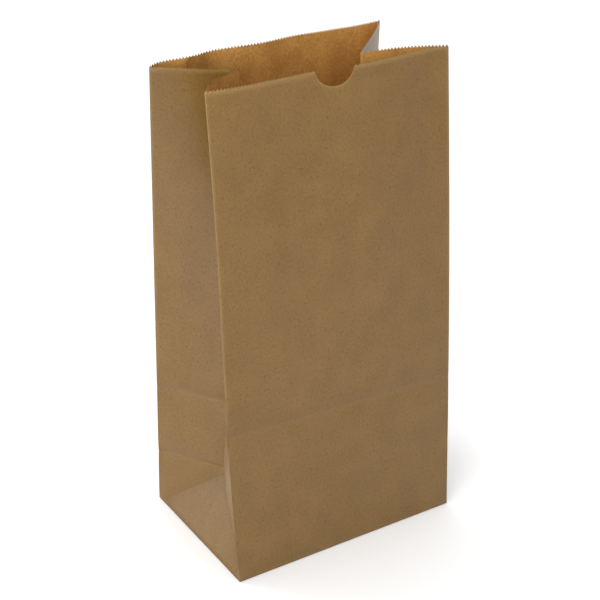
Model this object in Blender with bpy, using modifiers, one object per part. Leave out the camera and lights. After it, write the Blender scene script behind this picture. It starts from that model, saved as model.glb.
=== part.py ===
"""A brown paper lunch bag that stands open: one folded and pasted sheet of kraft paper.

The sheet is cut flat first, with its toothed rim, its thumb notch and its fold lines, and is then
stood up by stand(), which turns a place on the flat tube into a place on the open bag. s runs round
the tube from the front left fold: front, right gusset, back, left gusset. h runs up the tube.
Lengths are in metres, +Z is up, the front with the notch faces -Y and the base is at z = 0.
"""

import bmesh
import bpy
import numpy as np

# The flat sheet
PANEL_WIDTH = 0.127
GUSSET_WIDTH = 0.08467
BAG_HEIGHT = 0.24765
SHEET = 0.0001
TOOTH_PITCH = 0.00165
TOOTH_DEPTH = 0.0007
NOTCH_WIDTH = 0.019
NOTCH_DEPTH = 0.0088
NOTCH_SHIFT = 0.0008

# The lengthwise seam, on the back: the inner layer's free edge, measured from the back left fold
SEAM_START = 0.020
SEAM_LAP = 0.013
SEAM_EASE = 0.012

# The base: how far its two long flaps lap over the middle line, and how deep the paste sets them
FLAP_LAP = 0.025
PASTE_BITE = 0.00002
FOLD_ROUND = 0.00001
CORNER_EASE = 0.002

# The folds that the flat pack leaves across the bag: the cross fold, where the base was folded up
# against the back, and the mark that the base's edge pressed into the sheet, about twice as high.
# The gussets' slanting folds rise from the base, a little way in from the corner folds, and the
# triangle between them leans in by its tilt, in degrees
CORNER_GAP = 0.0033
LEFT_TILT = 30.0
RIGHT_TILT = 20.0
MARK_SLIP = 0.001
MARK_DEPTH = 0.00035
MARK_SPREAD = 0.0045
MARK_FADE = 0.012

# The mouth: how far each rim corner leans in over the base, and how far front and back slide apart
LEAN_FRONT_LEFT = 0.0314
LEAN_FRONT_RIGHT = 0.0240
LEAN_BACK_RIGHT = 0.0153
LEAN_BACK_LEFT = 0.0161
MOUTH_RACK = 0.0038

# How far the rim of each panel bows away from a straight line. The front half of a gusset has sprung
# out further in one place, a little way above the cross fold
FRONT_BOW = 0.0020
BACK_BOW = 0.0034
BACK_SKEW = 0.45
GUSSET_BOW = 0.0024
GUSSET_SLACK = 0.0004
SPRUNG_BOW = 0.0022
SPRUNG_HEIGHT = 0.050
SPRUNG_REACH = 0.030

# How finely the sheet is divided
COLUMN_STEP = 0.0125
ROW_STEP = 0.024
NOTCH_POINTS = 17
UNDER_TEETH = 0.0028
UNDER_NOTCH = 0.0014
SEAM_STEP = SHEET / 4

KRAFT = (0.314, 0.190, 0.085, 1.0)

HALF_WIDTH = PANEL_WIDTH / 2
HALF_GUSSET = GUSSET_WIDTH / 2
ROUND_TUBE = 2 * (PANEL_WIDTH + GUSSET_WIDTH)
LEVEL = SHEET - PASTE_BITE
TUBE_STARTS = {"back": SHEET / 2, "front": LEVEL + SHEET / 2, "gusset": 2 * LEVEL + SHEET / 2}
BASE_FOLD = HALF_GUSSET - CORNER_GAP
MARK_HEIGHT = 2 * BASE_FOLD - MARK_SLIP
NOTCH_CENTRE = HALF_WIDTH + NOTCH_SHIFT
NOTCH_FLOOR = BAG_HEIGHT - NOTCH_DEPTH


def collection(name):
    made = bpy.data.collections.new(name)
    bpy.context.scene.collection.children.link(made)
    return made


def mix(a, b, t):
    """The point that lies the share t of the way from a to b, for arrays of points."""
    return a + (b - a) * np.asarray(t)[..., None]


# Standing the tube up

def fold_line(side, face, lean):
    """A corner fold as (foot, top). The fold keeps its length, so its top sinks as it leans."""
    foot = np.array([side * HALF_WIDTH, face * HALF_GUSSET, 0.0])
    slide = -face * MOUTH_RACK
    drop = BAG_HEIGHT**2 - lean**2 - slide**2
    return foot, foot + np.array([slide, -face * lean, np.sqrt(drop)])


FOLDS = {
    (-1, -1): fold_line(-1, -1, LEAN_FRONT_LEFT),
    (1, -1): fold_line(1, -1, LEAN_FRONT_RIGHT),
    (1, 1): fold_line(1, 1, LEAN_BACK_RIGHT),
    (-1, 1): fold_line(-1, 1, LEAN_BACK_LEFT),
}


def on_fold(side, face, h):
    foot, top = FOLDS[side, face]
    return mix(foot, top, h / BAG_HEIGHT)


def marks(h, to_fold):
    """The cross folds: shallow valleys, deepest on their lines, which end at the nearest fold."""
    nearest = np.minimum(abs(h - BASE_FOLD), abs(h - MARK_HEIGHT))
    valley = MARK_DEPTH * np.clip(1 - nearest / MARK_SPREAD, 0, None)
    return valley * np.clip(to_fold / MARK_FADE, 0, 1)


def slackened(h):
    """How much of a panel's bow there is at this height: none at the base, all of it at the rim."""
    return (h / BAG_HEIGHT) ** 2


def lapped(s):
    """How far the pasted seam shifts the middle of the sheet inwards, and how many layers it has."""
    along = 2 * PANEL_WIDTH + GUSSET_WIDTH - s
    past = along - SEAM_START - SEAM_LAP
    single = SHEET * np.clip(1 - past / SEAM_EASE, 0, 1)
    inside = np.where(past > 0, single, SHEET / 2)
    layers = np.where((along > SEAM_START) & (past <= 0), 2.0, 1.0)
    return np.where(along > SEAM_START, inside, 0.0), layers


def stand_front(s, h):
    u = s / PANEL_WIDTH
    point = mix(on_fold(-1, -1, h), on_fold(1, -1, h), u)
    bow = FRONT_BOW * np.sin(np.pi * u) * slackened(h)
    point[:, 1] -= bow - marks(h, np.minimum(s, PANEL_WIDTH - s))
    return point


def stand_back(s, h):
    """The back bows out most over the stiff seam, in its left part."""
    u = (s - PANEL_WIDTH - GUSSET_WIDTH) / PANEL_WIDTH
    point = mix(on_fold(1, 1, h), on_fold(-1, 1, h), u)
    shape = np.sin(np.pi * u) - BACK_SKEW * np.sin(2 * np.pi * u)
    bow = BACK_BOW * shape * slackened(h)
    to_fold = PANEL_WIDTH * np.minimum(u, 1 - u)
    point[:, 1] += bow - marks(h, to_fold) - lapped(s)[0]
    return point


def tucked(side, h):
    """Where the middle fold of a gusset is in plan, and how far up it the height h is. Each half of
    the gusset keeps its width, so the fold moves in as front and back close up."""
    front, back = on_fold(side, -1, h), on_fold(side, 1, h)
    across = (back - front)[:, :2]
    gap = np.linalg.norm(across, axis=1)
    inward = np.stack([across[:, 1], -across[:, 0]], 1) * (-side) / gap[:, None]
    rise = np.clip((h - BASE_FOLD) / (BAG_HEIGHT - BASE_FOLD), 0, 1)
    half = HALF_GUSSET + GUSSET_SLACK * (1 - 2 * rise)
    depth = np.sqrt(np.clip(half**2 - (gap / 2) ** 2, 0, None))
    return (front + back)[:, :2] / 2 + inward * depth[:, None], rise


def gusset_middle(side, h):
    """The middle fold of a gusset, and the point above the base where it ends. Near that point the
    fold curves out, from where the two halves would put it to where the slanting folds meet."""
    tilt = np.radians(LEFT_TILT if side < 0 else RIGHT_TILT)
    meet = np.array([side * (HALF_WIDTH - BASE_FOLD * np.sin(tilt)), 0, BASE_FOLD * np.cos(tilt)])
    rim = tucked(side, np.array([BAG_HEIGHT]))[0][0]
    reach = BAG_HEIGHT - BASE_FOLD
    top = meet[2] + np.sqrt(reach**2 - ((rim - meet[:2]) ** 2).sum())
    plan, rise = tucked(side, h)
    start = tucked(side, np.array([BASE_FOLD]))[0][0]
    plan = plan + (meet[:2] - start) * ((1 - rise) ** 2)[:, None]
    return np.column_stack([plan, meet[2] + (top - meet[2]) * rise]), meet


def stand_gusset(side, across, h):
    """across runs from the front fold to the back fold. Below the base fold two slanting folds run
    down from the end of the middle fold to the base, and the triangle between them is flat."""
    front, back = on_fold(side, -1, h), on_fold(side, 1, h)
    middle, meet = gusset_middle(side, h)
    inset = np.clip(BASE_FOLD - h, 0, None)
    climb = np.clip(h / BASE_FOLD, 0, 1)
    feet = [np.array([side * HALF_WIDTH, face * BASE_FOLD, 0.0]) for face in (-1, 1)]
    below = (h < BASE_FOLD)[:, None]
    slant_front = np.where(below, mix(feet[0], meet, climb), middle)
    slant_back = np.where(below, mix(feet[1], meet, climb), middle)
    first, last = HALF_GUSSET - inset, HALF_GUSSET + inset
    u_front = np.clip(across / first, 0, 1)
    u_back = np.clip((across - last) / (GUSSET_WIDTH - last), 0, 1)
    u_flat = np.clip((across - first) / np.maximum(last - first, SHEET), 0, 1)
    point = mix(slant_front, slant_back, u_flat)
    point = np.where((across < first)[:, None], mix(front, slant_front, u_front), point)
    point = np.where((across > last)[:, None], mix(slant_back, back, u_back), point)
    chord = (slant_front - front)[:, :2]
    outward = np.stack([-chord[:, 1], chord[:, 0]], 1) * -side
    outward /= np.linalg.norm(outward, axis=1)[:, None]
    sprung = np.exp(-(((h - SPRUNG_HEIGHT) / SPRUNG_REACH) ** 2))
    bow = (GUSSET_BOW + SPRUNG_BOW * sprung) * (first / HALF_GUSSET) ** 2 * climb
    swell = bow * np.sin(np.pi * u_front) * (across < first)
    point[:, :2] += outward * swell[:, None]
    to_fold = np.minimum(across - last, GUSSET_WIDTH - across)
    point[:, 0] -= side * marks(h, to_fold)
    return point


def stand(s, h):
    """Places on the flat tube, as places on the open bag."""
    ends = np.cumsum([PANEL_WIDTH, GUSSET_WIDTH, PANEL_WIDTH])
    right = stand_gusset(1, np.clip(s - ends[0], 0, GUSSET_WIDTH), h)
    left = stand_gusset(-1, np.clip(ROUND_TUBE - s, 0, GUSSET_WIDTH), h)
    point = stand_front(s, h)
    point = np.where((s > ends[0])[:, None], right, point)
    point = np.where((s > ends[1])[:, None], stand_back(s, h), point)
    return np.where((s > ends[2])[:, None], left, point)


# Cutting the flat sheet

def rim_outline(start, width, folded):
    """The toothed top edge of one panel. The knife cuts the flattened tube, so the teeth are
    counted from the nearer corner fold."""
    pitch = PANEL_WIDTH / round(PANEL_WIDTH / TOOTH_PITCH)
    reach = width / 2 if folded else width
    x = np.arange(0, reach, pitch / 2)
    tooth = BAG_HEIGHT - TOOTH_DEPTH * (np.arange(len(x)) % 2 == 0)
    x = np.append(x, reach)
    tooth = np.append(tooth, BAG_HEIGHT - TOOTH_DEPTH)
    keep = np.append(np.diff(x) > pitch / 8, True)
    x, tooth = x[keep], tooth[keep]
    if folded:
        x = np.concatenate([x, width - x[-2::-1]])
        tooth = np.concatenate([tooth, tooth[-2::-1]])
    return np.column_stack([start + x, tooth])


def notch_outline():
    """The thumb notch: half an ellipse, cut into the middle of the front's rim."""
    turn = np.linspace(np.pi, 2 * np.pi, NOTCH_POINTS)
    x = NOTCH_CENTRE + NOTCH_WIDTH / 2 * np.cos(turn)
    return np.column_stack([x, BAG_HEIGHT + NOTCH_DEPTH * np.sin(turn)])


def panel_outline(start, width, faces):
    """One panel, anticlockwise. faces are the flap that carries its left end, its middle and its
    right end: a corner fold goes down to the long flap beside it."""
    rim = rim_outline(start, width, faces[1] == "gusset")
    if faces[1] == "front":
        left = rim[rim[:, 0] < NOTCH_CENTRE - NOTCH_WIDTH / 2]
        right = rim[rim[:, 0] > NOTCH_CENTRE + NOTCH_WIDTH / 2]
        rim = np.concatenate([left, notch_outline(), right])
    along = [start, start + CORNER_EASE, start + width - CORNER_EASE, start + width]
    low = [TUBE_STARTS[face] for face in (faces[0], faces[1], faces[1], faces[2])]
    return np.concatenate([np.column_stack([along, low]), rim[::-1]])


def score(bm, where, along, chosen=None):
    """Divides the flat sheet by the line through where that runs along along."""
    faces = [f for f in bm.faces if chosen is None or chosen(f.calc_center_median())]
    parts = {part for f in faces for part in (*f.verts, *f.edges)}
    across = (-along[1], along[0], 0)
    bmesh.ops.bisect_plane(
        bm, geom=faces + list(parts), dist=1e-7, plane_co=(*where, 0), plane_no=across
    )


def between(stops, step):
    """The stops themselves and evenly spaced places between them, at most a step apart."""
    stops = sorted(stops)
    runs = [np.linspace(a, b, max(1, round((b - a) / step)) + 1)[:-1] for a, b in zip(stops, stops[1:])]
    return np.append(np.concatenate(runs), stops[-1])


def flat_sheet():
    bm = bmesh.new()
    starts = np.cumsum([0, PANEL_WIDTH, GUSSET_WIDTH, PANEL_WIDTH])
    widths = [PANEL_WIDTH, GUSSET_WIDTH, PANEL_WIDTH, GUSSET_WIDTH]
    faces = ["front", "gusset", "back"]
    carried = [["front"] * 3, faces, ["back"] * 3, faces[::-1]]
    for start, width, ends in zip(starts, widths, carried):
        outline = panel_outline(start, width, ends)
        bm.faces.new([bm.verts.new((x, y, 0)) for x, y in outline])
    marks_at = [m + d for m in (BASE_FOLD, MARK_HEIGHT) for d in (-MARK_SPREAD, 0, MARK_SPREAD)]
    for h in between([0, *marks_at, NOTCH_FLOOR - UNDER_NOTCH], ROW_STEP)[1:]:
        score(bm, (0, h), (1, 0))
    seam = starts[3] - SEAM_START
    stops = [0, NOTCH_CENTRE - NOTCH_WIDTH / 2, NOTCH_CENTRE + NOTCH_WIDTH / 2, starts[1]]
    stops += [starts[1] + HALF_GUSSET, starts[2], seam - SEAM_LAP - SEAM_EASE]
    stops += [seam - SEAM_LAP - SEAM_STEP, seam - SEAM_LAP, seam - SEAM_STEP, seam]
    stops += [starts[3], starts[3] + HALF_GUSSET, ROUND_TUBE]
    for s in between(stops, COLUMN_STEP)[1:-1]:
        score(bm, (s, 0), (0, 1))
    beside_notch = lambda c: abs(c.x - NOTCH_CENTRE) > NOTCH_WIDTH / 2
    score(bm, (0, BAG_HEIGHT - UNDER_TEETH), (1, 0), beside_notch)
    for start in starts[1::2]:
        centre = start + HALF_GUSSET
        for lean in (-1, 1):
            foot = (centre + lean * BASE_FOLD, 0)

            def low_half(c, centre=centre, lean=lean):
                return c.y < BASE_FOLD and 0 < (c.x - centre) * lean < HALF_GUSSET

            score(bm, foot, (-lean, 1), low_half)
    bmesh.ops.triangulate(bm, faces=bm.faces[:])
    return bm


def paper_bag(name, where):
    bm = flat_sheet()
    mesh = bpy.data.meshes.new(name)
    bm.to_mesh(mesh)
    bm.free()
    flat = np.empty(len(mesh.vertices) * 3)
    mesh.vertices.foreach_get("co", flat)
    flat = flat.reshape(-1, 3)
    mesh.vertices.foreach_set("co", stand(flat[:, 0], flat[:, 1]).ravel())
    layers = lapped(flat[:, 0])[1] * (flat[:, 0] < 2 * PANEL_WIDTH + GUSSET_WIDTH)
    bag = bpy.data.objects.new(name, mesh)
    where.objects.link(bag)
    lap = bag.vertex_groups.new(name="layers")
    for count in (1, 2):
        chosen = np.flatnonzero(np.maximum(layers, 1) == count)
        lap.add(chosen.tolist(), count / 2, "REPLACE")
    weld = bag.modifiers.new("tube closed at its folds", "WELD")
    weld.merge_threshold = SHEET / 100
    wall = bag.modifiers.new("sheet", "SOLIDIFY")
    wall.thickness = 2 * SHEET
    wall.offset = 0
    wall.use_even_offset = True
    wall.vertex_group = lap.name
    return bag


# Pasting the base

def pasted(name, outline, level, where, thickness=SHEET):
    """A flap of the base: a flat outline, given its thickness up from its own level."""
    bm = bmesh.new()
    bm.faces.new([bm.verts.new((x, y, level)) for x, y in outline])
    bm.normal_update()
    mesh = bpy.data.meshes.new(name)
    bm.to_mesh(mesh)
    bm.free()
    flap = bpy.data.objects.new(name, mesh)
    where.objects.link(flap)
    flap.hide_render = True
    flap.display_type = "WIRE"
    body = flap.modifiers.new("thickness", "SOLIDIFY")
    body.thickness = thickness
    body.offset = 1
    return flap


def base_flaps(where):
    """From below: the back's flap, the front's flap, and the two side flaps. A flap folded over a
    corner leaves a web of the sheet behind it, which fills the place between it and the side."""
    edge = SHEET / 2 + FOLD_ROUND
    x, y = HALF_WIDTH + edge, HALF_GUSSET + edge
    deep = y + FLAP_LAP / 2
    long_flap = np.array([[-x, -y], [x, -y], [x - deep, deep - y], [deep - x, deep - y]])
    side_flap = np.array([[0, -HALF_GUSSET], [deep, -HALF_GUSSET], [deep, HALF_GUSSET], [0, HALF_GUSSET]])
    turned = long_flap * [-1, -1]
    bite = 2 * FOLD_ROUND
    free = y - FLAP_LAP / 2 + bite
    web = np.array([[bite, 0], [deep, 0], [deep, free], [free + bite, free]])
    flaps = [
        pasted("back_flap", turned, 0, where),
        pasted("front_flap", long_flap, LEVEL, where),
    ]
    for side in (-1, 1):
        outline = side_flap * [-side, 1] + [side * x, 0]
        corner = web * [-side, -1] + [side * x, HALF_GUSSET]
        if side > 0:
            outline, corner = outline[::-1], corner[::-1]
        level = LEVEL - PASTE_BITE / 4
        thick = SHEET + PASTE_BITE / 2
        flaps.append(pasted(f"side_flap_{side:+d}", outline, 2 * LEVEL, where))
        flaps.append(pasted(f"web_{side:+d}", corner[::-1], level, where, thick))
    return flaps


def kraft_paper():
    paper = bpy.data.materials.new("kraft paper")
    paper.use_nodes = True
    surface = paper.node_tree.nodes["Principled BSDF"]
    surface.inputs["Base Color"].default_value = KRAFT
    surface.inputs["Roughness"].default_value = 0.75
    surface.inputs["Metallic"].default_value = 0.0
    return paper


def main():
    for obj in list(bpy.data.objects):
        bpy.data.objects.remove(obj)
    bag = paper_bag("paper_bag", collection("paper lunch bag"))
    for flap in base_flaps(collection("pasted flaps")):
        union = bag.modifiers.new(flap.name, "BOOLEAN")
        union.operation = "UNION"
        union.solver = "EXACT"
        union.object = flap
    bag.data.materials.append(kraft_paper())


main()
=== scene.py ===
# %% [markdown]
# # A brown paper lunch bag
#
# The real bag is one sheet of kraft paper. A machine creases it, wraps it into a tube with a pasted
# seam, folds one end into a flat base, and cuts the other end with a toothed knife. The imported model
# already has that sheet at its real size, with flat panels and few faces. This script lays a finer
# sheet in its place: one mesh of numpy surfaces, with the bows, tucks and creases of a bag that was
# stored flat and then opened by hand.

import bmesh
import bpy
import numpy as np
from mathutils import Matrix, Vector


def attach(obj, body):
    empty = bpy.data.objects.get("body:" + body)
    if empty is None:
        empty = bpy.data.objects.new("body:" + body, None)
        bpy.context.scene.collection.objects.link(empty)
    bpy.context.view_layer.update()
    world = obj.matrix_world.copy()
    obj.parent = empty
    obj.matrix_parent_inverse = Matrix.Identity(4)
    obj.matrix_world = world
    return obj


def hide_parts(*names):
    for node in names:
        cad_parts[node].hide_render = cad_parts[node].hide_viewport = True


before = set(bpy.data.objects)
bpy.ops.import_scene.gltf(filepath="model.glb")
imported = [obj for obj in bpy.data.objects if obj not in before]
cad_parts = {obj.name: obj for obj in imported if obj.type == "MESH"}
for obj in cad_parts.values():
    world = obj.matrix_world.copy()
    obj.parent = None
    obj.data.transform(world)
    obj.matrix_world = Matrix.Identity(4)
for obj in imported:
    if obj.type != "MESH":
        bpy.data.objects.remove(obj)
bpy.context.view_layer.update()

# %% [markdown]
# ## The flat sheet
#
# Every place on the bag is known by two numbers: the panel's share u, counted the way round the tube
# that runs front, right gusset, back, left gusset, and the height h up the flat tube. Keeping the
# flat sheet in mind makes the folds simple, because a fold line is a line on that sheet and its
# length never changes.

# %% Sizes of the sheet, in metres
WIDTH = 0.127
GUSSET = 0.08467
HEIGHT = 0.24765
SHEET = 0.0001
HALF_WIDTH, HALF_GUSSET = WIDTH / 2, GUSSET / 2

FRONT_TEETH = 77
HALF_GUSSET_TEETH = 26
TOOTH = WIDTH / FRONT_TEETH
TOOTH_DEPTH = 0.0011
VALLEYS = HEIGHT - TOOTH_DEPTH

NOTCH_WIDTH = 0.019
NOTCH_DEPTH = 0.0088
NOTCH_SHIFT = 0.0008
NOTCH_CENTRE = HALF_WIDTH + NOTCH_SHIFT
NOTCH_TEETH = (33, 45)

CORNER_GAP, MARK_SLIP = 0.0033, 0.001
CROSS_FOLD = HALF_GUSSET - CORNER_GAP
PRESS_MARK = 2 * CROSS_FOLD - MARK_SLIP
print(f"{FRONT_TEETH} teeth across the front, {1000 * TOOTH:.2f} mm apart")

# %% [markdown]
# ## Corner folds
#
# The four corner folds carry the bag. They could be drawn as curves by hand, but then their lengths
# would drift. Here each keeps its length, so a fold that leans in over the base also sinks a little.
# Three of them bend: a fold that was pinched when the bag was opened is never quite straight, and its
# bow shows in the outline.

# %% The corner folds, from foot to rim
FOOT_RISE = 0.0006
MOUTH_RACK = 0.0038
LEANS = {(-1, -1): 0.0314, (1, -1): 0.0240, (1, 1): 0.0153, (-1, 1): 0.0161}
FOLD_BOWS = {(-1, -1): (0.0003, 0.0008), (1, -1): (0.0011, 0.0), (1, 1): (0.0003, 0.0), (-1, 1): (0.0, 0.0)}


def mix(a, b, share):
    """The point that lies the given share of the way from a to b: a + (b - a) x share."""
    return a + (b - a) * np.asarray(share)[..., None]


def corner(side, face, h):
    """A corner fold: a straight line from foot to rim, plus a bow of one or two half waves in x."""
    slide, lean = -face * MOUTH_RACK, LEANS[side, face]
    foot = np.array([side * HALF_WIDTH, face * HALF_GUSSET, FOOT_RISE])
    top = foot + [slide, -face * lean, np.sqrt(HEIGHT**2 - lean**2 - slide**2) - FOOT_RISE]
    rise = np.clip(h / HEIGHT, 0, 1)
    point = mix(foot, top, rise)
    once, twice = FOLD_BOWS[side, face]
    point[..., 0] += side * (once * np.sin(np.pi * rise) + twice * np.sin(2 * np.pi * rise))
    return point


for (side, face), lean in LEANS.items():
    print(("left", "right")[side > 0], ("front", "back")[face > 0], "rim, mm:",
          np.round(1000 * corner(side, face, np.array(HEIGHT)), 1))

# %% [markdown]
# ## Bows along the rim
#
# Paper that is held only at its folds bows between them. The bow is largest at the free rim and dies
# away towards the base, so one curve along the rim and one falling curve up the panel describe it. A
# smooth curve through a few places says it more plainly than a sum of waves would.

# %% A smooth curve through a few places
FRONT_RIM = ((0, 0), (0.05, 1.1), (0.22, 1.7), (0.45, 0.6), (0.645, 2.7), (0.82, 0.2), (0.94, -1.4), (1, 0))
BACK_RIM = ((0, 0), (0.15, 0.1), (0.22, 0.9), (0.36, 2.4), (0.54, 2.3), (0.66, 4.0), (0.73, 4.7),
            (0.80, 2.7), (0.91, 3.2), (0.95, 3.2), (1, 0))
MM = 0.001


def curve_through(places, u):
    """A cubic through the places. Its slope at each one is that of the line between the two beside it."""
    at, value = np.array(places, float).T
    slope = np.gradient(value, at)
    k = np.clip(np.searchsorted(at, u, side="right") - 1, 0, len(at) - 2)
    span = at[k + 1] - at[k]
    t = (u - at[k]) / span
    rest = 1 - t
    hermite = rest**2 * (1 + 2 * t) * value[k] + t**2 * (1 + 2 * rest) * value[k + 1]
    return hermite + t * rest * span * (rest * slope[k] - t * slope[k + 1])


def eased(t):
    """Runs from 0 to 1 with no slope at either end: t squared times (3 - 2 t)."""
    t = np.clip(t, 0, 1)
    return t * t * (3 - 2 * t)


u = np.linspace(0, 1, 201)
print("the front's rim bows out by", round(curve_through(FRONT_RIM, u).max(), 1), "mm,",
      "the back's by", round(curve_through(BACK_RIM, u).max(), 1), "mm")

# %% [markdown]
# ## Folds across the bag
#
# In the flat pack the base lies folded up against the back. That leaves a true fold right across the
# back and across the rear half of each gusset, and the base's far edge presses a fainter mark into
# every layer, about twice as high. An opened fold is a valley with a sharp bottom and long soft
# sides. A bump texture could fake the line, but not the way the panel turns towards the light below
# it, so the valley is modelled, and the rows of the mesh are bent to run along it.

# %% Valleys, and the heights where they cross each fold
LINES = ("front_left", "front_right", "right_tuck", "back_right", "back_left", "left_tuck")
CROSS_AT = dict(zip(LINES, (0.0409, 0.0384, CROSS_FOLD, 0.0370, 0.0310, CROSS_FOLD)))
PRESS_AT = dict(zip(LINES, (0.0788, 0.0748, 0.0750, 0.0750, 0.0720, 0.0770)))
REACH_UP, REACH_DOWN = 0.0035, 0.0090
WARP = 0.034
DEPTH_AT_FOLDS, DEPTH_EASE = 0.35, 0.15


def crossing(at, ends, u):
    """The height of a cross fold at u: a straight line between its heights at the panel's two ends."""
    start, end = ends
    return at[start] + (at[end] - at[start]) * u


def on_sheet(h, u, ends):
    """Bends the mesh's rows: row CROSS_FOLD runs along the cross fold, and row PRESS_MARK along the
    pressed mark. The bend fades out over WARP above and below."""
    for at, row in ((CROSS_AT, CROSS_FOLD), (PRESS_AT, PRESS_MARK)):
        h = h + (crossing(at, ends, u) - row) * np.clip(1 - abs(h - row) / WARP, 0, 1)
    return h


def valley(h, crease):
    """Depth of an opened fold, 1 on its line: it falls off as exp(-distance / reach)."""
    above = h - crease
    return np.exp(-np.where(above > 0, above / REACH_UP, -above / REACH_DOWN))


def creases(h, u, ends, depths):
    """How far the cross fold and the pressed mark draw a panel in: the sum of depth x valley. Both are
    shallow near the upright folds."""
    both = sum(deep * valley(h, crossing(at, ends, u)) for at, deep in zip((CROSS_AT, PRESS_AT), depths))
    return both * (DEPTH_AT_FOLDS + (1 - DEPTH_AT_FOLDS) * eased(np.minimum(u, 1 - u) / DEPTH_EASE))


print("the cross fold runs from", 1000 * CROSS_AT["back_left"], "to", 1000 * CROSS_AT["front_left"], "mm")

# %% [markdown]
# ## Cockle
#
# No paper is flat: drying leaves long shallow waves in it, mostly along the way the web ran, which
# is up the bag. A few slow waves with seeded directions and phases give that, and because they are
# functions of the flat sheet they run on round the folds.

# %% Long shallow waves in the paper
COCKLE_WAVES = 9
COCKLE = 0.00010
LENGTHS_ACROSS, LENGTHS_UP = (0.022, 0.080), (0.060, 0.260)
seeds = np.random.default_rng(4)
wave_across = 2 * np.pi / seeds.uniform(*LENGTHS_ACROSS, COCKLE_WAVES) * seeds.choice((-1, 1), COCKLE_WAVES)
wave_up = 2 * np.pi / seeds.uniform(*LENGTHS_UP, COCKLE_WAVES)
wave_phase = seeds.uniform(0, 2 * np.pi, COCKLE_WAVES)


def cockle(s, h):
    """The height of the waves: COCKLE times the sum of the sines of s x across + h x up + phase."""
    waves = np.sin(np.multiply.outer(s, wave_across) + np.multiply.outer(h, wave_up) + wave_phase)
    return COCKLE * waves.sum(-1)


print("cockle, mm:", round(1000 * COCKLE * np.sqrt(COCKLE_WAVES / 2), 2), "typical")

# %% [markdown]
# ## The base
#
# The bag's end is folded flat and pasted. Below h = 0 the sheet turns under the bag: a small quarter
# circle, then flat. Four flat plates would leave gaps at the corners, where here every flap hangs on
# its own panel. The back's flap is the outermost, the front's lies on it and the two side flaps on
# both, each one level higher. The long flaps taper by 45 degrees, where the web of each corner was
# folded in.

# %% Turning the sheet under
FLAP_LAP = 0.0125
FLAP_DEPTH = HALF_GUSSET + FLAP_LAP
FLAP_LEVELS = {"back": 0.00005, "front": 0.00030, "gusset": 0.00042}


def under(h, foot, inward, level):
    """Below h = 0: round a quarter circle from the foot, then on along inward at the flap's level. At
    the angle a the circle has gone radius x (1 - cos a) in and radius x (1 - sin a) is left to go down."""
    radius = FOOT_RISE - level
    turn = np.clip(-h / radius, 0, np.pi / 2)
    flat = np.clip(-h - radius * np.pi / 2, 0, None)
    point = foot + np.multiply.outer(radius * (1 - np.cos(turn)) + flat, np.array([*inward, 0.0]))
    point[..., 2] = np.where(h < 0, level + radius * (1 - np.sin(turn)), point[..., 2])
    return point


print("the base's flaps reach", round(1000 * FLAP_DEPTH, 1), "mm in")

# %% [markdown]
# ## Front and back
#
# The two large panels are flat in the pack and bow a little once the bag is opened. A subdivided cage
# could be pulled into that shape, but its folds would round off. So each is the straight surface
# between its two corner folds, pushed out by the rim's bow and in by the creases. The back is double
# where the seam is pasted: its inner layer lies one sheet further in and ends at a free edge, which
# lifts a little past the paste and whose corner has curled away at the mouth.

# %% The front and the back
BELLY = 0.0010
FOOT_EASE = 0.004
FRONT_CREASES, BACK_CREASES = (0.00030, 0.00080), (0.00090, 0.00060)
SEAM_TEETH = (12, 20)
SEAM_GAP = 0.00013
SEAM_EASE = 0.010
PASTE_TEETH = (16, 20.5)
LIFT, LIFT_EASE = 0.0006, 0.030
CURL = 0.0022
CURL_WIDTH, CURL_HEIGHT = 0.006, 0.016
SLACK_POWER = 2.2
FRONT_ENDS, BACK_ENDS = ("front_left", "front_right"), ("back_right", "back_left")


def slack(h):
    """The share of a rim's bow that is left at height h: (h / HEIGHT) to the power SLACK_POWER."""
    return np.clip(h / HEIGHT, 0, 1) ** SLACK_POWER


def bulge(u, rows, s, rim, ends, depths):
    """How far a wide panel stands out: rim bow x slack + belly + cockle - creases, and 0 at the foot."""
    edge = np.sin(np.pi * u)
    out = MM * curve_through(rim, u) * slack(rows) + BELLY * edge * np.sin(np.pi * rows / HEIGHT)
    out = out + cockle(s, rows) * edge - creases(rows, u, ends, depths)
    return out * eased(rows / FOOT_EASE)


def front(u, h):
    """The straight surface between the front's corner folds, with its bulge towards the front. Below
    them the flap tapers: both its sides go in by as much as it is deep."""
    rows, s = on_sheet(h, u, FRONT_ENDS), u * WIDTH
    point = mix(corner(-1, -1, rows), corner(1, -1, rows), u)
    point[..., 1] -= bulge(u, rows, s, FRONT_RIM, FRONT_ENDS, FRONT_CREASES)
    point[..., 0] += (1 - 2 * u) * np.clip(-h, 0, None)
    return under(h, point, (0, 1), FLAP_LEVELS["front"]), rows, s


def back(u, h, inner):
    """The same for the back. inner is 0 for the outer layer and the outside, and up to 1 where the
    sheet lies inside the lap: there it is SEAM_GAP further in, and lifts and curls at its free edge by
    the square of the share of the way from the paste to the edge."""
    rows, s = on_sheet(h, u, BACK_ENDS), WIDTH + GUSSET + u * WIDTH
    point = mix(corner(1, 1, rows), corner(-1, 1, rows), u)
    point[..., 1] += bulge(u, rows, s, BACK_RIM, BACK_ENDS, BACK_CREASES) - SEAM_GAP * inner
    free = (1 - u) * WIDTH - SEAM_TEETH[0] * TOOTH
    loose = np.clip(1 - free / ((PASTE_TEETH[0] - SEAM_TEETH[0]) * TOOTH), 0, 1)
    curl = np.clip(1 - free / CURL_WIDTH, 0, 1) * np.clip(1 - (HEIGHT - rows) / CURL_HEIGHT, 0, 1)
    lifted = LIFT * loose**2 * eased(rows / LIFT_EASE) + CURL * curl**2
    point[..., 1] -= lifted * (inner > 0)
    point[..., 0] -= (1 - 2 * u) * np.clip(-h, 0, None)
    return under(h, point, (0, -1), FLAP_LEVELS["back"] + SEAM_GAP * inner), rows, s


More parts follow.
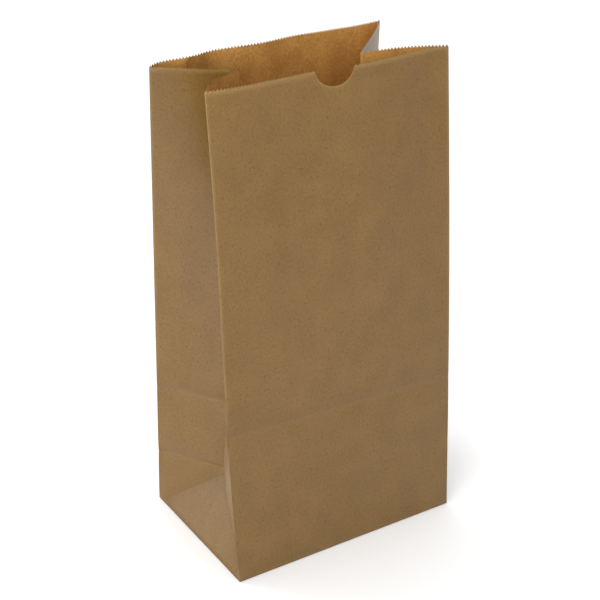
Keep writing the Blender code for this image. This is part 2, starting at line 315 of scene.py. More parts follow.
print("the middle of the front's rim, mm:", np.round(1000 * front(np.array(0.5), np.array(HEIGHT))[0], 1))

# %% [markdown]
# ## Gussets
#
# A gusset is folded down its middle, and each half keeps its width. So where front and back come
# closer, the middle fold moves in: in plan it is the tip of a triangle with two equal sides, and that
# rule gives the whole fold with nothing to adjust. Low down the middle fold ends. Two slanting folds
# run from its end to the base, and between them the gusset stands as a flat triangle that leans in.

# %% The middle fold and the slanting folds
TRIANGLE_TILT = {-1: np.radians(30), 1: np.radians(20)}
TUCK_SLACK = 0.0004


def tucked(side, h):
    """The middle fold in plan: half way across the gap between front and back at height h, and in by
    the square root of (half a gusset squared - half the gap squared). Also the share of the way up."""
    front_fold, back_fold = corner(side, -1, h)[..., :2], corner(side, 1, h)[..., :2]
    across = back_fold - front_fold
    gap = np.linalg.norm(across, axis=-1)
    rise = np.clip((h - CROSS_FOLD) / (HEIGHT - CROSS_FOLD), 0, 1)
    half = HALF_GUSSET + TUCK_SLACK * (1 - 2 * rise)
    depth = np.sqrt(np.clip(half**2 - (gap / 2) ** 2, 0, None))
    inward = np.stack([across[..., 1], -across[..., 0]], -1) * (-side / gap)[..., None]
    return (front_fold + back_fold) / 2 + inward * depth[..., None], rise


def triangle_tip(side):
    """Where the middle fold ends and the slanting folds meet: CROSS_FOLD up the leaning triangle."""
    reach, rise = CROSS_FOLD * np.sin(TRIANGLE_TILT[side]), CROSS_FOLD * np.cos(TRIANGLE_TILT[side])
    return np.array([side * (HALF_WIDTH - reach), 0, FOOT_RISE + rise])


def middle(side, h):
    """The middle fold. Low down it swings out from the triangle's tip to where it is tucked, as
    (1 - share of the way up) squared, and it rises evenly to where its length puts its top."""
    tip = triangle_tip(side)
    plan, rise = tucked(side, h)
    rim = tucked(side, np.array(HEIGHT))[0]
    low = tucked(side, np.array(CROSS_FOLD))[0]
    top = tip[2] + np.sqrt((HEIGHT - CROSS_FOLD) ** 2 - ((rim - tip[:2]) ** 2).sum())
    plan = plan + np.multiply.outer((1 - rise) ** 2, tip[:2] - low)
    return np.concatenate([plan, (tip[2] + (top - tip[2]) * rise)[..., None]], -1)


def inner_edge(side, face, h):
    """The fold that bounds half a gusset: the middle fold, and below its end the slanting fold."""
    foot = np.array([side * HALF_WIDTH, face * CROSS_FOLD, FOOT_RISE])
    slant = mix(foot, triangle_tip(side), np.clip(h / CROSS_FOLD, 0, 1))
    return np.where((h < CROSS_FOLD)[..., None], slant, middle(side, h))


print("left triangle's tip, mm:", np.round(1000 * triangle_tip(-1), 1))

# %% [markdown]
# The front half of each gusset has sprung out into a curve. On the left it hides the triangle's tip
# from the photograph's side and shows as a bright sliver. The rear half is nearly flat and carries
# the two deepest creases. The triangle has a few waves from the pasting. All of these are sines
# across the panel, so that they vanish at the folds and leave their lengths alone.

# %% The halves and the triangle of a gusset
FRONT_SWELL, REAR_SWELL = 0.0024, 0.0004
LOW_SWELL, LOW_SWELL_HEIGHT, LOW_SWELL_REACH = 0.0015, 0.050, 0.030
GUSSET_FRONT_CREASES, GUSSET_REAR_CREASES = (0.00030, 0.00045), (0.00160, 0.00130)
TRIANGLE_DISH = 0.0006
PUCKER, PUCKER_LENGTH = 0.00007, 0.0135
PUCKERS = ((1.0, 1.0, 2.0), (0.7, 2.65, -5.0))
LEFT_START, RIGHT_START = 2 * WIDTH + GUSSET, WIDTH


def gusset_ends(side, face):
    """Names of the folds where half a gusset starts and ends, the way round the tube."""
    hand = "left" if side < 0 else "right"
    fold, tuck = ("front_" if face < 0 else "back_") + hand, hand + "_tuck"
    return (fold, tuck) if side == -face else (tuck, fold)


def half_gusset(side, face, u, h):
    """The straight surface between the corner fold and the inner edge. Its swell is a half sine from
    fold to fold, and dies away as the half grows narrow. u runs round the tube, so from the corner
    fold or to it, as side and face have it."""
    from_corner = u if side == -face else 1 - u
    ends = gusset_ends(side, face)
    rows = on_sheet(h, u, ends)
    outer, inner = corner(side, face, rows), inner_edge(side, face, rows)
    point = mix(outer, inner, from_corner)
    chord = (inner - outer)[..., :2]
    width = np.linalg.norm(chord, axis=-1)
    outward = np.stack([-chord[..., 1], chord[..., 0]], -1) * (side * face / width)[..., None]
    share = (width / HALF_GUSSET) ** 2
    bend = np.sin(np.pi * from_corner)
    if face < 0:
        swell = FRONT_SWELL + LOW_SWELL * np.exp(-(((rows - LOW_SWELL_HEIGHT) / LOW_SWELL_REACH) ** 2))
        deep = creases(rows, u, ends, GUSSET_FRONT_CREASES)
    else:
        swell, deep = REAR_SWELL, creases(rows, u, ends, GUSSET_REAR_CREASES)
    s = (LEFT_START if side < 0 else RIGHT_START) + (u + (side != -face)) * HALF_GUSSET
    out = ((swell + cockle(s, rows)) * bend - deep) * share * eased(rows / FOOT_EASE)
    point[..., :2] += outward * out[..., None]
    return under(h, point, (-side, 0), FLAP_LEVELS["gusset"]), rows, s


def triangle(side, u, h):
    """Flat between the two slanting folds, but for a dish and a few waves. Each of PUCKERS is a sine of
    s: its strength, its waves to one PUCKER_LENGTH and its slant. They are strongest at a third of the
    height, where height x (1 - height) squared is 4 / 27."""
    point = mix(inner_edge(side, -side, h), inner_edge(side, side, h), u)
    height = np.clip(h / CROSS_FOLD, 0, 1)
    half_width = np.clip(CROSS_FOLD - np.clip(h, 0, None), 0, None)
    s = (LEFT_START if side < 0 else RIGHT_START) + HALF_GUSSET + (2 * u - 1) * half_width
    dish = TRIANGLE_DISH * np.sin(np.pi * height) * (1 - height)
    waves = sum(strength * np.sin(2 * np.pi * count * s / PUCKER_LENGTH + slant * height)
                for strength, count, slant in PUCKERS)
    pucker = PUCKER * waves * 27 / 4 * height * (1 - height) ** 2
    point[..., 0] -= side * (dish + pucker) * np.sin(np.pi * u)
    return under(h, point, (-side, 0), FLAP_LEVELS["gusset"]), h, s


print("folds of the left gusset's front half:", gusset_ends(-1, -1))

# %% [markdown]
# ## Rows and columns
#
# The columns stand on the knife's teeth, so that each gap between two teeth is a column and the rim
# is cut by adding one small face per tooth. More columns stand close to each fold, which keeps the
# fold narrow when the light is smoothed over it, and in the thumb notch. The rows are close together
# at the cross folds and further apart elsewhere.

# %% Rows of the mesh
FAR_ROWS, NEAR_ROWS = 0.0022, 0.0007
ROWS_EASE = 0.007
FINE_ROWS = 2000
FLAP_ROWS = 10
TURNED_ROWS = (1, 0.66, 0.33)


def graded(low, high):
    """Heights from low to high whose spacing shrinks near the cross folds: the places where the
    running sum of 1 / spacing reaches equal shares."""
    fine = np.linspace(low, high, FINE_ROWS)
    near = sum(np.exp(-abs(fine - at) / ROWS_EASE) for at in (CROSS_FOLD, PRESS_MARK))
    density = 1 / (FAR_ROWS - (FAR_ROWS - NEAR_ROWS) * np.clip(near, 0, 1))
    total = np.concatenate([[0], np.cumsum((density[1:] + density[:-1]) / 2 * np.diff(fine))])
    return np.interp(np.linspace(0, total[-1], int(round(total[-1])) + 1), total, fine)


turned = -FOOT_RISE * np.pi / 2 * np.array(TURNED_ROWS)
flap_rows = np.concatenate([np.linspace(-FLAP_DEPTH, turned[0], FLAP_ROWS)[:-1], turned])
low_rows = np.concatenate([flap_rows, graded(0, CROSS_FOLD)])
high_rows = np.concatenate([graded(CROSS_FOLD, PRESS_MARK)[1:], graded(PRESS_MARK, VALLEYS)[1:]])
all_rows = np.concatenate([low_rows, high_rows])
print(len(all_rows), "rows")

# %% Columns of the mesh
FOLD_ROUND = 0.00035
SAME_SHARE = 1e-9


def columns(first, last, width, folds, halved=()):
    """Shares u of the columns on teeth first to last of a panel of that width, with one more close to
    each place in folds. halved gives a run of teeth with a column at each tip too. Returns them with
    the column that starts each tooth."""
    teeth = np.arange(first, last + 1, dtype=float)
    tips = np.arange(*halved) + 0.5 if halved else np.empty(0)
    count = round(width / TOOTH)
    near = np.add.outer(np.array(folds) * count, np.array((-1, 1)) * FOLD_ROUND / TOOTH).ravel()
    near = near[(near > first) & (near < last)]
    u = np.sort(np.concatenate([teeth, tips, near])) / count
    return u, np.searchsorted(u, teeth / count - SAME_SHARE)


print("columns on the front:", len(columns(0, FRONT_TEETH, WIDTH, (0, 1), NOTCH_TEETH)[0]))

# %% [markdown]
# ## Assembling the sheet
#
# Each patch of the sheet is a grid of u and h sent through its own function. Neighbours give the same
# points along the fold that they share, so merging doubles joins them into one sheet. Only the two
# edges of the seam stay open, because the paper really ends there. Every point also gets its place on
# the flat sheet, for the paper's pattern, and five marks from 0 to 1 for the colour. They say how close
# it is to a fold, a cross fold and the rim, where a pale line of rubbed fibre and painted highlight
# goes, and to the band above a cross fold, where painted shade goes. The last says whether paste lies
# under it, where painted shade goes too.

# %% A list of points and faces
class Sheet:
    """Collects the points, flat places, marks and faces of all patches."""

    def __init__(self):
        self.points, self.flat, self.marks, self.faces = [], [], [], []
        self.count = 0

    def add(self, points, flat, marks):
        """Returns the number of the first of the new points."""
        start = self.count
        self.points.append(points.reshape(-1, 3))
        self.flat.append(flat.reshape(-1, 2))
        self.marks.append(marks.reshape(-1, marks.shape[-1]))
        self.count += self.points[-1].shape[0]
        return start

    def grid(self, rows, cols, start):
        """Quads of a grid whose rows run up and whose columns run round the tube: they face out."""
        first = start + np.add.outer(np.arange(rows - 1) * cols, np.arange(cols - 1)).ravel()
        quads = np.stack([first, first + 1, first + cols + 1, first + cols], -1)
        self.faces += quads.tolist()


# The pressed mark is a band of painted shade above each cross fold. Fold, cross and rim carry a pale line of
# rubbed fibre and painted highlight, and paste carries painted shade.
print("marks on each point: fold, cross, pressed, rim, paste")

# %% The marks
# How far each mark reaches. The pale line at folds, cross folds and rim is rubbed fibre and a painted
# highlight, and the band above a cross fold or along a slanting fold is painted shade.
FOLD_WEAR_AND_HIGHLIGHT, CROSS_WEAR_AND_HIGHLIGHT, CREASE_SHADE_REACH, RIM_WEAR_AND_HIGHLIGHT = 0.0005, 0.0009, 0.0035, 0.0009
SLANTING_SHADE_REACH, FOLD_MARK_START = 0.005, 0.055
PASTE_FADE = 0.5
ON_LINE = 1e-6


def pasted(s):
    """1 under the stripe of paste along the seam and 0 beside it, from the place s round the tube. It
    fades over PASTE_FADE of a tooth."""
    from_left = (LEFT_START - s) / TOOTH
    return eased((from_left - PASTE_TEETH[0]) / PASTE_FADE) * eased((PASTE_TEETH[1] - from_left) / PASTE_FADE)


def wear_and_painted_light(u, width, rows, folds, crosses):
    """Closeness to an upright fold or free edge, as exp(-distance squared), to a cross fold and to the
    band above one, where shade is painted, as exp(-distance), and to the rim or the notch's edge, as
    1 - distance. folds are the places u of the upright ones, whose marks start only some way up. A
    patch that no cross fold crosses is the triangle: its band of painted shade lies along the
    slanting folds, where it grows narrow."""
    away = np.min([abs(u - at) for at in folds], 0) * width
    fold = np.exp(-((away / FOLD_WEAR_AND_HIGHLIGHT) ** 2)) * eased((rows - FOLD_MARK_START) / FOLD_MARK_START)
    if crosses:
        cross = np.max([np.exp(-abs(rows - at) / CROSS_WEAR_AND_HIGHLIGHT) for at in crosses], 0)
        band = np.max([np.exp(-abs(rows - at) / CREASE_SHADE_REACH) * (rows >= at - ON_LINE) for at in crosses], 0)
    else:
        narrowed = np.clip(1 - rows / CROSS_FOLD, 0, 1)
        cross = 0 * rows
        band = np.exp(-away * narrowed / SLANTING_SHADE_REACH) * (rows > 0)
    top = rows.max(0)
    top = np.where(top > HEIGHT - 2 * NOTCH_DEPTH, top, HEIGHT)
    rim = np.clip(1 - (top - rows) / RIM_WEAR_AND_HIGHLIGHT, 0, 1)
    return np.stack([fold, cross, band, rim], -1)


print("the wear at a fold reaches", 1000 * FOLD_WEAR_AND_HIGHLIGHT, "mm, at the rim", 1000 * RIM_WEAR_AND_HIGHLIGHT, "mm")

# %% One patch of the sheet
def add_patch(sheet, place, u, rows, width, folds, crosses=(), starts=None, rim=None):
    """place(u, h) gives points, heights on the sheet and s, and each of crosses gives a cross fold's
    height at u. starts are the columns that begin teeth: a tooth is one face, from its two valleys up
    to a tip half way between them. rim moves the grid near the mouth to the notch's outline."""
    grid_u, grid_h = np.meshgrid(u, rows)
    if rim is not None:
        grid_u, grid_h = rim(grid_u, grid_h)
    points, heights, s = place(grid_u, grid_h)
    marks = wear_and_painted_light(grid_u, width, heights, folds, [cross(grid_u) for cross in crosses])
    start = sheet.add(points, np.stack([s, heights], -1), np.concatenate([marks, pasted(s)[..., None]], -1))
    sheet.grid(len(rows), len(u), start)
    if starts is None:
        return
    keep = np.array([rim is None or not NOTCH_TEETH[0] <= k < NOTCH_TEETH[1] for k in range(len(starts) - 1)])
    left, right = starts[:-1][keep], starts[1:][keep]
    tip_u = (grid_u[-1][left] + grid_u[-1][right]) / 2
    tips, heights, s = place(tip_u, np.full(len(tip_u), HEIGHT))
    marks = wear_and_painted_light(tip_u, width, heights, folds, [np.zeros(len(tip_u))])
    peak = sheet.add(tips, np.stack([s, heights], -1), np.concatenate([marks, pasted(s)[..., None]], -1))
    last_row = start + (len(rows) - 1) * len(u)
    for k, (a, b) in enumerate(zip(left.tolist(), right.tolist())):
        sheet.faces.append([last_row + c for c in range(a, b + 1)] + [peak + k])


def crossings(ends):
    """The heights of the cross fold and of the pressed mark, each as a function of u."""
    return [lambda u, at=at: crossing(at, ends, u) for at in (CROSS_AT, PRESS_AT)]


print("a tooth is", round(1000 * TOOTH, 2), "mm wide and", 1000 * TOOTH_DEPTH, "mm deep")

# %% [markdown]
# ## The thumb notch
#
# A half ellipse is punched out of the middle of the front's rim, so that a thumb can part the two
# sides. A boolean would cut it, but would leave thin slivers along the curve. Sliding the grid's own
# columns and rows to the ellipse gives a clean edge, and the faces stay even.

# %% The thumb notch
SQUEEZE = 0.024


def notch(u, h):
    """Near the mouth the notch's columns slide to equal turns a of a half ellipse, to its middle - half
    its width x cos a, and their rows are squeezed down so that the last one is the notch's edge, at
    the rim - depth x sin a."""
    first, last = (np.array(NOTCH_TEETH) * TOOTH / WIDTH).tolist()
    turn = np.clip((u - first) / (last - first), 0, 1) * np.pi
    inside = (u >= first - SAME_SHARE) & (u <= last + SAME_SHARE)
    low = HEIGHT - NOTCH_DEPTH - SQUEEZE
    share = np.clip((h - low) / (VALLEYS - low), 0, 1)
    target = (NOTCH_CENTRE - NOTCH_WIDTH / 2 * np.cos(turn)) / WIDTH
    edge = np.minimum(VALLEYS, HEIGHT - NOTCH_DEPTH * np.sin(turn))
    moved = np.where(inside, u + (target - u) * eased(share), u)
    squeezed = np.where(inside & (h > low), low + share * (edge - low), h)
    return moved, squeezed


print("notch, mm:", 1000 * NOTCH_WIDTH, "wide and", 1000 * NOTCH_DEPTH, "deep")

# %% [markdown]
# ## The whole sheet
#
# The real bag closes on itself at the seam, where the back has two layers. So there are nine patches:
# the front, the back's inner and outer layer, and for each gusset two halves and a triangle. The
# front was never folded across, so only its pressed mark gets the pale line and the band of painted
# shade.

# %% The front and the two layers of the back
sheet = Sheet()


def back_inner(u, h):
    """The layer that starts at the right and goes in under the other one before the lap."""
    return back(u, h, eased(1 - ((1 - u) * WIDTH - SEAM_TEETH[1] * TOOTH) / SEAM_EASE))


def back_outer(u, h):
    """The layer that starts at the left and lies outside."""
    return back(u, h, 0 * u)


u, starts = columns(0, FRONT_TEETH, WIDTH, (0, 1), NOTCH_TEETH)
add_patch(sheet, front, u, all_rows, WIDTH, (0, 1), crossings(FRONT_ENDS)[1:], starts, notch)

inner_edge_at, outer_edge_at = ((FRONT_TEETH - tooth) / FRONT_TEETH for tooth in SEAM_TEETH)
u, starts = columns(0, FRONT_TEETH - SEAM_TEETH[0], WIDTH, (0, inner_edge_at))
add_patch(sheet, back_inner, u, all_rows, WIDTH, (0, inner_edge_at), crossings(BACK_ENDS), starts)
u, starts = columns(FRONT_TEETH - SEAM_TEETH[1], FRONT_TEETH, WIDTH, (outer_edge_at, 1))
add_patch(sheet, back_outer, u, all_rows, WIDTH, (outer_edge_at, 1), crossings(BACK_ENDS), starts)
print(sheet.count, "points so far")

# %% The gussets
TRIANGLE_COLUMNS = 37
for side in (-1, 1):
    for face in (-1, 1):
        u, starts = columns(0, HALF_GUSSET_TEETH, HALF_GUSSET, (0, 1))
        add_patch(sheet, lambda u, h, side=side, face=face: half_gusset(side, face, u, h), u, all_rows,
                  HALF_GUSSET, (0, 1), crossings(gusset_ends(side, face)), starts)
    add_patch(sheet, lambda u, h, side=side: triangle(side, u, h), np.linspace(0, 1, TRIANGLE_COLUMNS),
              low_rows, 2 * CROSS_FOLD, (0, 1))

points = np.concatenate(sheet.points)
print(len(points), "points,", len(sheet.faces), "faces")

# %% [markdown]
# ## Paper with a thickness
#
# The surface so far has no thickness. Solidify gives it both faces and the cut edge, each with its
# own finish. The wall has to be made before the edges are marked sharp, because the cut edge is where
# the light must break, and everywhere else the folds look right with smoothed light.

# %% Make the mesh
SAME_PLACE = 1e-6
MARKS = ("fold", "cross", "pressed", "rim", "paste")


def new_mesh(name, points, faces, flat, marks):
    """A mesh with the flat sheet's places, in metres, as its UV map, and the marks on its points."""
    mesh = bpy.data.meshes.new(name)
    mesh.from_pydata(points, [], faces)
    for k, word in enumerate(MARKS):
        mesh.attributes.new(word, "FLOAT", "POINT").data.foreach_set("value", marks[:, k].astype(np.float32))
    corners = np.empty(len(mesh.loops), np.int32)
    mesh.loops.foreach_get("vertex_index", corners)
    uv = mesh.uv_layers.new(name="flat sheet")
    uv.data.foreach_set("uv", flat[corners].astype(np.float32).ravel())
    return mesh


def merge_doubles(mesh, distance):
    """Joins the points that lie closer together than the distance."""
    bm = bmesh.new()
    bm.from_mesh(mesh)
    bmesh.ops.remove_doubles(bm, verts=bm.verts[:], dist=distance)
    bm.to_mesh(mesh)
    bm.free()


def sharpen_between_materials(mesh):
    """Marks each edge sharp where the finish changes, that is along the cut edge of the paper."""
    finish = np.empty(len(mesh.polygons), np.int32)
    sizes = np.empty(len(mesh.polygons), np.int32)
    edges = np.empty(len(mesh.loops), np.int32)
    mesh.polygons.foreach_get("material_index", finish)
    mesh.polygons.foreach_get("loop_total", sizes)
    mesh.loops.foreach_get("edge_index", edges)
    per_corner = np.repeat(finish, sizes)
    lowest = np.full(len(mesh.edges), finish.max())
    highest = np.full(len(mesh.edges), finish.min())
    np.minimum.at(lowest, edges, per_corner)
    np.maximum.at(highest, edges, per_corner)
    sharp = mesh.attributes.new("sharp_edge", "BOOLEAN", "EDGE")
    sharp.data.foreach_set("value", lowest != highest)
    return int((lowest != highest).sum())


mesh = new_mesh("paper bag", points, sheet.faces, np.concatenate(sheet.flat), np.concatenate(sheet.marks))
merge_doubles(mesh, SAME_PLACE)
flat_bag = bpy.data.objects.new("flat bag", mesh)
bpy.context.scene.collection.objects.link(flat_bag)
print(len(mesh.vertices), "points after merging")

# %% [markdown]
# ## Kraft paper
#
# Unbleached kraft is cooked wood fibre. Close up it is a felt of pale and dark fibres that lie mostly
# along the web, with cloudy patches where the pulp was thicker, specks of bark, and faint lines from
# the wire that it was formed on. A picture of paper would repeat itself. Five layers of noise, each at
# the size of the real thing, don't, and on the flat sheet's own coordinates their pattern runs on
# round the folds and stretches nowhere.
#
# The marks add a pale line along folds, cross folds and rim, which is partly rubbed fibre and partly
# a painted highlight. They add painted shade in a band above each cross fold, along the slanting
# folds and on the pasted stripe of the seam, where the sheet is double. The inner face's colours are
# far brighter than the outer face's: painted light for the light that fills the bag. The outer face
# is calendered, so it is smoother and reflects more than the inner one. Light that falls on one face
# also glows through to the other, so a share of it goes through the sheet.

# %% Small helpers for materials
def add_node(tree, kind, settings=None, **inputs):
    """A new node. A value that is a socket is linked, and any other is set."""
    node = tree.nodes.new(kind)
    for name, value in (settings or {}).items():
        setattr(node, name, value)
    for name, value in inputs.items():
        key = int(name[1:]) if name[0] == "_" else name.replace("_", " ")
        if isinstance(value, bpy.types.NodeSocket):
            tree.links.new(value, node.inputs[key])
        else:
            node.inputs[key].default_value = value
    return node


def maths(tree, operation, a, b):
    """a and b put together by the operation."""
    return add_node(tree, "ShaderNodeMath", {"operation": operation}, _0=a, _1=b).outputs[0]


def blend_colours(tree, share, a, b):
    """The colour a + (b - a) x share, where a and b are sockets or three numbers."""
    a, b = (value if isinstance(value, bpy.types.NodeSocket) else (*value, 1) for value in (a, b))
    return add_node(tree, "ShaderNodeMix", {"data_type": "RGBA"}, _0=share, _6=a, _7=b).outputs[2]


def remap(tree, value, low, high, to_low, to_high):
    """Stretches the range low to high to the new one, and holds the value there beyond its ends."""
    node = add_node(tree, "ShaderNodeMapRange", None, _0=value, _1=low, _2=high, _3=to_low, _4=to_high)
    return node.outputs[0]


def shaded(colour, share):
    """The colour times the share."""
    return [share * part for part in colour]


def felt(tree, uv, size, stretch, detail, seed):
    """Noise whose grains are size metres across and stretch times as long up the bag."""
    turned = add_node(tree, "ShaderNodeMapping", None, Vector=uv, Location=(seed, seed / 3, 0),
                      Scale=(1 / size, 1 / (size * stretch), 1))
    noise = add_node(tree, "ShaderNodeTexNoise", {"noise_dimensions": "2D"}, Vector=turned.outputs[0],
                     Scale=1.0, Detail=detail, Roughness=FELT_ROUGHNESS)
    return noise.outputs[0]


FELT_ROUGHNESS = 0.62
# Each layer's size in metres, its stretch, its detail and its seed
LAYERS = {"clouds": (0.0120, 1.2, 3, 1.0), "pulp": (0.0012, 1.2, 3, 7.0), "specks": (0.0008, 1.5, 1, 31.0),
          "fibres": (0.00030, 4.0, 3, 13.0), "wires": (0.0022, 60.0, 2, 21.0)}
print("layers of noise:", {word: f"{1000 * shape[0]:.1f} mm" for word, shape in LAYERS.items()})

# %% The paper's finish
# For each kind of fleck its layer, the part of that layer's range over which its strength grows, that
# strength, and its share of the dark colour. None stands for the pale fibres' colour
FLECKS = (("fibres", 0.56, 0.74, 0.55, None), ("fibres", 0.42, 0.26, 0.50, 0.62),
          ("specks", 0.68, 0.80, 0.50, None), ("specks", 0.32, 0.20, 0.40, 0.55))
USUAL, WIDER = (0.3, 0.7), (0.25, 0.75)
WIRE_TONE = 0.03
# Painted shade on the pasted stripe and in the band above each cross fold, with its tone as a share of the
# dark colour
PAINTED_SEAM_SHADE, PAINTED_CREASE_SHADE, PAINTED_SHADE_TONE = 0.15, 0.30, 0.7
SMOOTHER, ROUGHER = 0.05, 0.06
FIBRE_RELIEF, RELIEF, RELIEF_STRENGTH = 0.4, 0.00006, 0.5
THROUGH_COLOUR = (0.83, 0.53, 0.22)


def kraft(name, dark, light, fibre, rough, glaze, cloudy, grain, wear_and_highlight, through):
    """The colour is dark + (light - dark) x tone, and the tone is a half, and up to cloudy, grain and
    WIRE_TONE more or less. fibre is the pale fibres' colour. The next to last argument gives, for a
    fold, a cross fold and the rim, how strongly that shows as a pale line of rubbed fibre and painted
    highlight, and through is the share of the light that goes through. The pasted stripe and the band
    above a cross fold are darkened as painted shade."""
    material = bpy.data.materials.new(name)
    material.use_nodes = True
    tree = material.node_tree
    surface = tree.nodes["Principled BSDF"]
    uv = add_node(tree, "ShaderNodeUVMap", {"uv_map": "flat sheet"}).outputs[0]
    layer = {word: felt(tree, uv, *shape) for word, shape in LAYERS.items()}

    tone = maths(tree, "ADD", remap(tree, layer["clouds"], *USUAL, 0.5 - cloudy, 0.5 + cloudy),
                 remap(tree, layer["pulp"], *WIDER, -grain, grain))
    tone = maths(tree, "ADD", tone, remap(tree, layer["wires"], *USUAL, -WIRE_TONE, WIRE_TONE))
    colour = blend_colours(tree, tone, dark, light)
    for word, low, high, strength, darkness in FLECKS:
        there = remap(tree, layer[word], low, high, 0.0, strength)
        colour = blend_colours(tree, there, colour, fibre if darkness is None else shaded(dark, darkness))
    # Pale line at fold, cross fold and rim: rubbed fibre and a painted highlight. Pasted stripe and the band
    # above a cross fold: painted shade.
    marks = [(word, much, fibre) for word, much in zip(("fold", "cross", "rim"), wear_and_highlight)]
    marks += [(word, much, shaded(dark, PAINTED_SHADE_TONE)) for word, much in (("paste", PAINTED_SEAM_SHADE),
                                                                    ("pressed", PAINTED_CREASE_SHADE))]
    for word, much, shade in marks:
        near = add_node(tree, "ShaderNodeAttribute", {"attribute_name": word}).outputs["Fac"]
        colour = blend_colours(tree, maths(tree, "MULTIPLY", near, much), colour, shade)
    tree.links.new(colour, surface.inputs["Base Color"])

    roughness = remap(tree, layer["pulp"], *USUAL, rough - SMOOTHER, rough + ROUGHER)
    tree.links.new(roughness, surface.inputs["Roughness"])
    height = maths(tree, "ADD", maths(tree, "MULTIPLY", layer["fibres"], FIBRE_RELIEF), layer["pulp"])
    bump = add_node(tree, "ShaderNodeBump", None, Height=height, Strength=RELIEF_STRENGTH, Distance=RELIEF)
    tree.links.new(bump.outputs[0], surface.inputs["Normal"])
    surface.inputs["Specular IOR Level"].default_value = glaze
    if through:
        thin = add_node(tree, "ShaderNodeBsdfTranslucent", None, Color=(*THROUGH_COLOUR, 1))
        both = add_node(tree, "ShaderNodeMixShader", None, _0=through, _1=surface.outputs[0],
                        _2=thin.outputs[0])
        tree.links.new(both.outputs[0], tree.nodes["Material Output"].inputs["Surface"])
    return material


print(len(FLECKS), "kinds of fleck")

# %% The two faces and the cut edge
LET_THROUGH = 0.20
OUTSIDE_DARK, OUTSIDE_LIGHT = (0.141, 0.074, 0.011), (0.203, 0.115, 0.023)
# The inner face's colours are far brighter than the outer face's: painted light for the light that fills the
# bag
LIT_INSIDE_DARK, LIT_INSIDE_LIGHT = (0.440, 0.213, 0.050), (0.660, 0.360, 0.098)
OUTSIDE_FIBRE, LIT_INSIDE_FIBRE = (0.330, 0.222, 0.080), (0.780, 0.490, 0.178)
finishes = [
    kraft("kraft outside", OUTSIDE_DARK, OUTSIDE_LIGHT, OUTSIDE_FIBRE, rough=0.32, glaze=0.60,
          cloudy=0.21, grain=0.57, wear_and_highlight=(0.50, 0.22, 0.50), through=LET_THROUGH),
    # The inner face: a brightened copy of the paper, painted light
    kraft("kraft inside painted bright", LIT_INSIDE_DARK, LIT_INSIDE_LIGHT, LIT_INSIDE_FIBRE, rough=0.62, glaze=0.40,
          cloudy=0.40, grain=0.60, wear_and_highlight=(0.10, 0.05, 0.0), through=LET_THROUGH),
    kraft("kraft cut edge", OUTSIDE_DARK, OUTSIDE_LIGHT, OUTSIDE_LIGHT, rough=0.80, glaze=0.30,
          cloudy=0.20, grain=0.30, wear_and_highlight=(0, 0, 0), through=0),
]
print([m.name for m in finishes])

# %% Thicken the sheet and stand it in the frame
for finish in finishes:
    flat_bag.data.materials.append(finish)
wall = flat_bag.modifiers.new("sheet", "SOLIDIFY")
wall.thickness = SHEET
wall.offset = 0
wall.use_even_offset = False
wall.material_offset = 1
wall.material_offset_rim = 2
thick = bpy.data.meshes.new_from_object(flat_bag.evaluated_get(bpy.context.evaluated_depsgraph_get()))
bpy.data.objects.remove(flat_bag)
thick.name = "paper bag"
thick.polygons.foreach_set("use_smooth", np.ones(len(thick.polygons), bool))
cut = sharpen_between_materials(thick)
bag = bpy.data.objects.new("paper_bag_sheet", thick)
bpy.context.scene.collection.objects.link(bag)
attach(bag, "root")
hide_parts("paper_bag")
print(len(thick.loops) - 2 * len(thick.polygons), "triangles,", cut, "edges along the cut")

# %% [markdown]
# ## Floor, light and camera
#
# A product like this is photographed in a white tent, which is brightest above and behind, with a
# softbox beside the camera. Lamps alone would leave hard edges to the shadows. So the sky is the tent,
# with five soft sides of their own brightness, one lamp at the front left picks out the creases, and
# a small one at the rear left gives the dull shine low on the gusset.

# %% Floor
FLOOR_SIZE = 12.0
FLOOR_GREY, FLOOR_ROUGH = 0.92, 0.9
FLOOR_DROP = 0.00002
floor_mesh = bpy.data.meshes.new("floor")
half = FLOOR_SIZE / 2
floor_corners = [(-half, -half, 0), (half, -half, 0), (half, half, 0), (-half, half, 0)]
floor_mesh.from_pydata(floor_corners, [], [(0, 1, 2, 3)])
floor = bpy.data.objects.new("floor", floor_mesh)
bpy.context.scene.collection.objects.link(floor)
floor.location.z = -FLOOR_DROP
paint = bpy.data.materials.new("pale floor")
paint.use_nodes = True
painted = paint.node_tree.nodes["Principled BSDF"]
painted.inputs["Base Color"].default_value = (*[FLOOR_GREY] * 3, 1)
painted.inputs["Roughness"].default_value = FLOOR_ROUGH
floor_mesh.materials.append(paint)
print("floor, m:", FLOOR_SIZE)

# %% A white tent
TENT = {"left": 0.35, "front": 0.25, "right": 0.15, "back": 1.2, "top": 1.8}


def tent_world():
    """Light from direction d is the sum over the five sides of brightness x (cosine to that side)^2."""
    world = bpy.data.worlds.new("white tent")
    world.use_nodes = True
    tree = world.node_tree
    toward = add_node(tree, "ShaderNodeTexCoord").outputs["Generated"]
    total = 0.0
    for sign, sides in ((1, ("right", "back", "top")), (-1, ("left", "front", None))):
        faced = add_node(tree, "ShaderNodeVectorMath", {"operation": "MULTIPLY"}, _0=toward, _1=(sign,) * 3)
        faced = add_node(tree, "ShaderNodeVectorMath", {"operation": "MAXIMUM"}, _0=faced.outputs[0],
                         _1=(0, 0, 0))
        square = add_node(tree, "ShaderNodeVectorMath", {"operation": "MULTIPLY"}, _0=faced.outputs[0],
                          _1=faced.outputs[0])
        share = add_node(tree, "ShaderNodeVectorMath", {"operation": "DOT_PRODUCT"}, _0=square.outputs[0],
                         _1=tuple(TENT.get(side, 0.0) for side in sides))
        total = maths(tree, "ADD", share.outputs["Value"], total)
    background = tree.nodes["Background"]
    background.inputs["Color"].default_value = (1, 1, 1, 1)
    tree.links.new(total, background.inputs["Strength"])
    return world


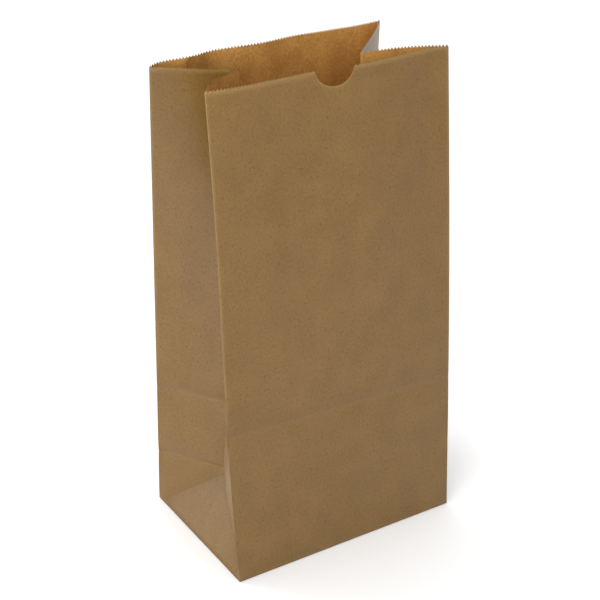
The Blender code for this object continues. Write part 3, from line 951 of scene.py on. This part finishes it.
bpy.context.scene.world = tent_world()
bpy.context.scene.view_settings.view_transform = "Standard"
sides_light = sum(TENT[side] for side in ("left", "front", "right", "back")) / 8
print("the tent's light on the floor:", round(TENT["top"] / 2 + sides_light, 2))

# %% Two softboxes
SIDE_PLACE, SIDE_TARGET, SIDE_SIZE, SIDE_WATTS = (-0.91, -0.75, 0.40), (0, 0, 0.12), 0.7, 10.5
REAR_PLACE, REAR_TARGET, REAR_SIZE, REAR_WATTS = (-0.52, 0.62, 0.30), (-0.20, 0.20, 0), 0.4, 2.2


def softbox(name, place, target, size, watts):
    """A square lamp at place that looks at the target: its own +Z points away from it."""
    data = bpy.data.lights.new(name, "AREA")
    data.shape, data.size, data.energy = "SQUARE", size, watts
    lamp = bpy.data.objects.new(name, data)
    lamp.location = place
    lamp.rotation_euler = (Vector(place) - Vector(target)).to_track_quat("Z", "Y").to_euler()
    bpy.context.scene.collection.objects.link(lamp)


softbox("side", SIDE_PLACE, SIDE_TARGET, SIDE_SIZE, SIDE_WATTS)
softbox("rear", REAR_PLACE, REAR_TARGET, REAR_SIZE, REAR_WATTS)
print("lamps, W:", SIDE_WATTS, REAR_WATTS)

# %% [markdown]
# ## The photograph's camera
#
# The camera stands to the left and looks down, close enough for the bag's upright folds to spread
# towards the top. Its turn, rise, roll, distance and lens come from the places of the bag's corners
# and folds in the photograph, and the same fit gave the bag's proportions.

# %% The camera of the photograph
CAMERA_TURN, CAMERA_RISE, CAMERA_ROLL = np.radians([-32.425, 28.058, 0.402])
CAMERA_FAR = 0.7755
CAMERA_TARGET = Vector((-0.00262, 0, 0.12157))
FOCAL_PIXELS, PICTURE_PIXELS, SENSOR_MM = 1568.2, 600, 36

away = Vector((np.sin(CAMERA_TURN) * np.cos(CAMERA_RISE), -np.cos(CAMERA_TURN) * np.cos(CAMERA_RISE),
               np.sin(CAMERA_RISE)))
right = Vector((np.cos(CAMERA_TURN), np.sin(CAMERA_TURN), 0))
axes = Matrix((right, away.cross(right), away)).transposed() @ Matrix.Rotation(CAMERA_ROLL, 3, "Z")
lens = bpy.data.cameras.new("camera")
lens.sensor_width = SENSOR_MM
lens.lens = FOCAL_PIXELS / PICTURE_PIXELS * SENSOR_MM
camera = bpy.data.objects.new("camera", lens)
camera.matrix_world = Matrix.Translation(CAMERA_TARGET + away * CAMERA_FAR) @ axes.to_4x4()
bpy.context.scene.collection.objects.link(camera)
bpy.context.scene.camera = camera
print("lens, mm:", round(lens.lens, 1))
